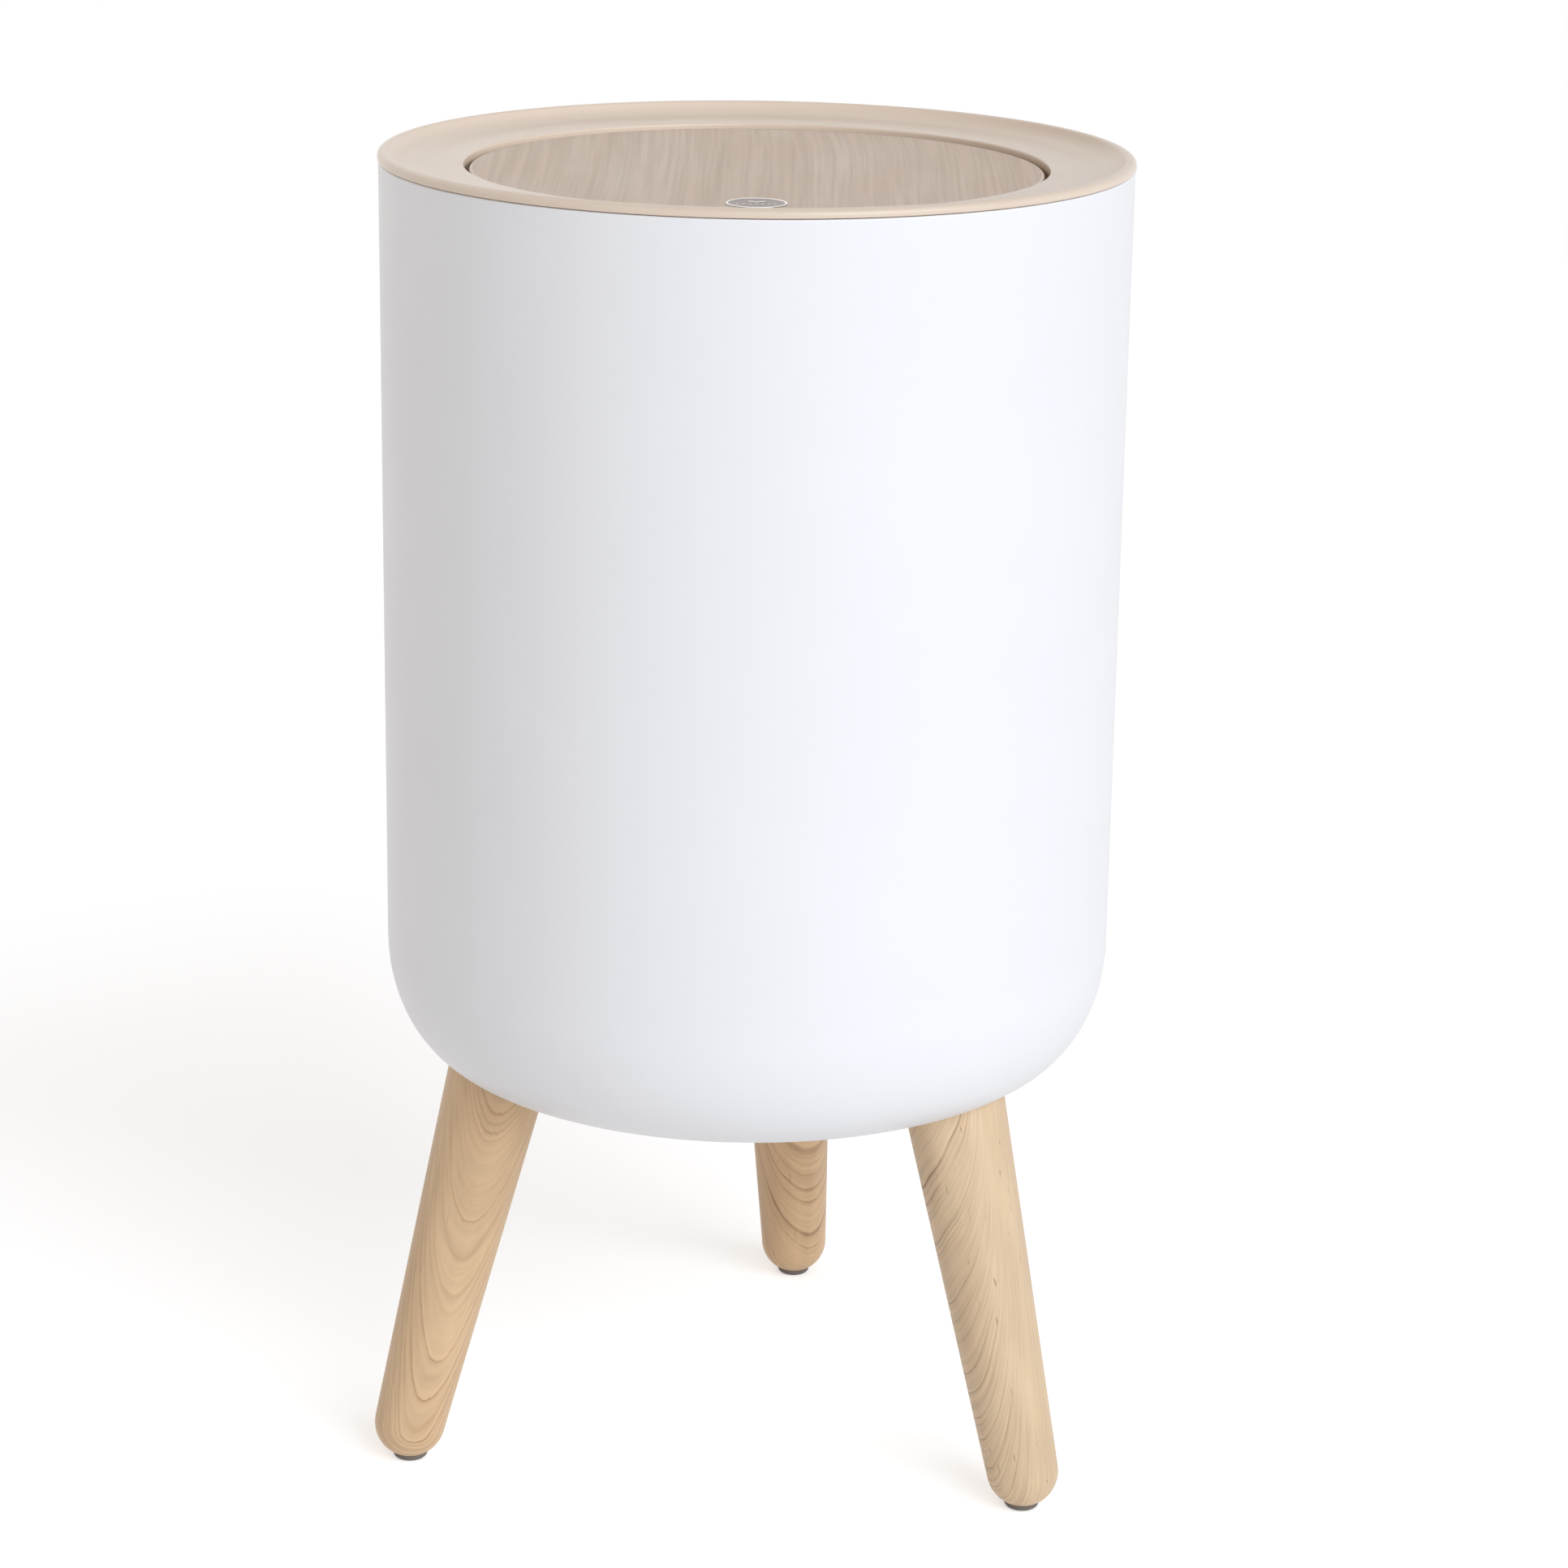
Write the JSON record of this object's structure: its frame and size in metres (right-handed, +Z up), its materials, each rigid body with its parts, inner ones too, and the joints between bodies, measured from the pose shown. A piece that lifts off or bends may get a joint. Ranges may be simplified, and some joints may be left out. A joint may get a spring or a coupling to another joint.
{
  "type": "swing-lid trash can",
  "caption": "Round bin with a self-levelling swing lid in a dished ring, a lift-out bucket and splayed screw-in legs.",
  "frame": {"origin": "the point on the floor on the bin's axis, in the middle of the circle through the three feet", "axes": "+Z up along the bin's axis, -Y to the front with the badge, +X along the lid's pivot axis, to the right of a viewer who stands in front"},
  "size_m": [0.2429, 0.2493, 0.434],
  "materials": {
    "white_plastic": "fine matte moulded polypropylene",
    "beige_plastic": "fine matte moulded polypropylene",
    "grey_plastic": "satin moulded polypropylene",
    "bearing_plastic": "smooth acetal",
    "wood_film": "printed oak pattern on a matte film",
    "leg_wood": "turned pale hardwood with a clear matte lacquer",
    "badge_metal": "satin anodised",
    "rubber": "matte",
    "steel": "zinc plated",
    "brass": "turned"
  },
  "bodies": {
    "base": {"outer_shell": "white_plastic", "leg_left": "leg_wood", "leg_right": "leg_wood", "leg_rear": "leg_wood", "foot_pad_left": "rubber", "foot_pad_right": "rubber", "foot_pad_rear": "rubber", "leg_studs": "steel", "leg_inserts": "brass"},
    "bucket": {"inner_bucket": "grey_plastic"},
    "ring": {"lid_frame": "beige_plastic", "pivot_bush_left": "bearing_plastic", "pivot_bush_right": "bearing_plastic"},
    "lid": {"lid_panel": "beige_plastic", "lid_veneer": "wood_film", "push_badge": "badge_metal", "lid_tray": "beige_plastic", "counterweight": "steel", "weight_screws": "steel", "pivot_pin_left": "steel", "pivot_pin_right": "steel", "pin_clips": "steel", "tray_screws": "steel"}
  },
  "joints": [
    {"name": "bucket_lift", "type": "slide", "parent": "base", "child": "bucket", "axis": [0, 0, 1], "range_m": [0, 0.26]},
    {"name": "frame_lift", "type": "slide", "parent": "bucket", "child": "ring", "axis": [0, 0, 1], "range_m": [0, 0.08]},
    {"name": "lid_swing", "type": "hinge", "parent": "ring", "child": "lid", "pos_m": [0, 0, 0.4181], "axis": [1, 0, 0], "range_deg": [-80, 80]}
  ]
}
